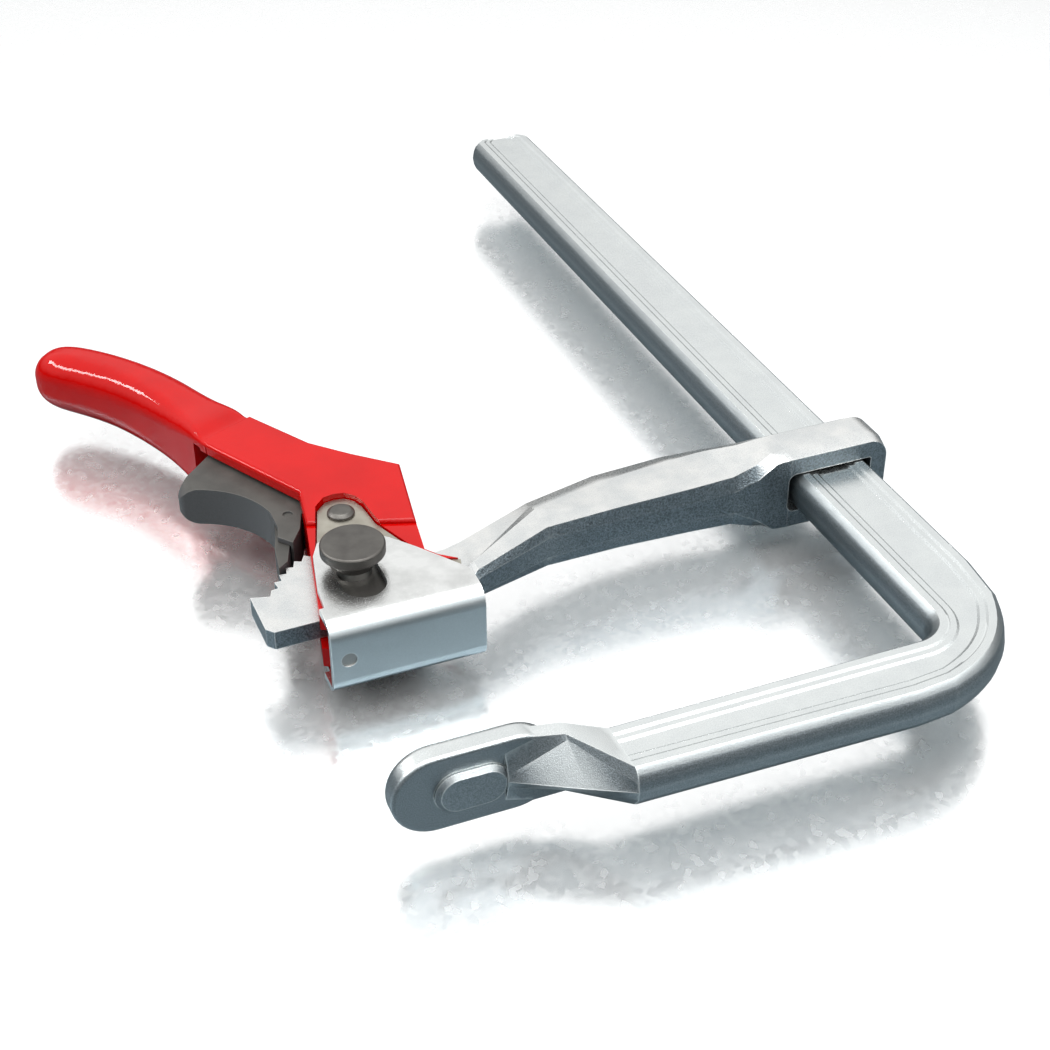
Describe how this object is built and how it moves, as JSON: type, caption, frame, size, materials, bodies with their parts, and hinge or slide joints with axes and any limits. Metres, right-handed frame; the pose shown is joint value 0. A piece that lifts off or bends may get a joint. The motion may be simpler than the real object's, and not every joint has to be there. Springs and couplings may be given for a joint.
{
  "type": "quick release bar clamp",
  "caption": "All steel lever clamp: a bent bar with a fixed jaw, an arm that slides on it, and a cam lever with a ratchet release trigger that drives a pressure plate.",
  "frame": {"origin": "middle of the fixed jaw's clamping face, on the clamp's mid plane", "axes": "+Y from the fixed jaw along the rail towards the sliding jaw, +X from the jaws to the rail, +Z across the clamp's thickness"},
  "size_m": [0.2373, 0.3842, 0.04],
  "materials": {
    "zinc_bar": "satin zinc plating over a forged bar, with a fine grain",
    "forged_arm": "satin zinc plating over a forging, rougher on the sides",
    "plate_zinc": "smooth satin zinc plating",
    "pin_steel": "plain steel, satin",
    "spacer_steel": "plain steel, satin",
    "cap_steel": "black finish, satin",
    "shim_dark": "matte",
    "red_lacquer": "glossy red lacquer over a casting",
    "cam_steel": "hardened steel with an olive grey tint, satin",
    "rivet_dark": "black finish, satin",
    "trigger_black": "dark grey coating, matte",
    "spring_steel": "bright spring steel"
  },
  "bodies": {
    "fixed": {"fixed_bar": "zinc_bar"},
    "arm": {"sliding_arm": "forged_arm", "pivot_pin": "pin_steel", "collar_top": "spacer_steel", "collar_bottom": "spacer_steel", "pin_cap_top": "cap_steel", "pin_cap_bottom": "cap_steel", "slide_shim_top": "shim_dark", "slide_shim_bottom": "shim_dark"},
    "lever": {"lever_handle": "red_lacquer", "cam_plate_top": "cam_steel", "cam_plate_bottom": "cam_steel", "link_rivet": "rivet_dark", "link_spacer": "pin_steel", "trigger_pin": "pin_steel", "trigger_spring": "spring_steel"},
    "trigger": {"release_trigger": "trigger_black", "pawl": "trigger_black", "pawl_rivet": "pin_steel"},
    "plate": {"pressure_plate": "plate_zinc", "plate_rivet": "pin_steel", "plate_spring": "spring_steel"}
  },
  "joints": [
    {"name": "arm_slide", "type": "slide", "parent": "fixed", "child": "arm", "axis": [0, 1, 0], "range_m": [-0.047, 0.255]},
    {"name": "lever_hinge", "type": "hinge", "parent": "arm", "child": "lever", "pos_m": [-0.0075, 0.077, 0], "axis": [0, 0, 1], "range_deg": [-24, 27]},
    {"name": "trigger_hinge", "type": "hinge", "parent": "lever", "child": "trigger", "pos_m": [-0.006, 0.1215, 0], "axis": [0, 0, 1], "range_deg": [-7, 0], "stiffness_Nm_per_rad": 1, "springref_deg": 20.05},
    {"name": "plate_slide", "type": "slide", "parent": "arm", "child": "plate", "axis": [0, 1, 0], "range_m": [-0.0031, 0.0035]}
  ],
  "couplings": [
    {"joint": "plate_slide", "follows": "lever_hinge", "m_per_rad": 0.0072}
  ]
}
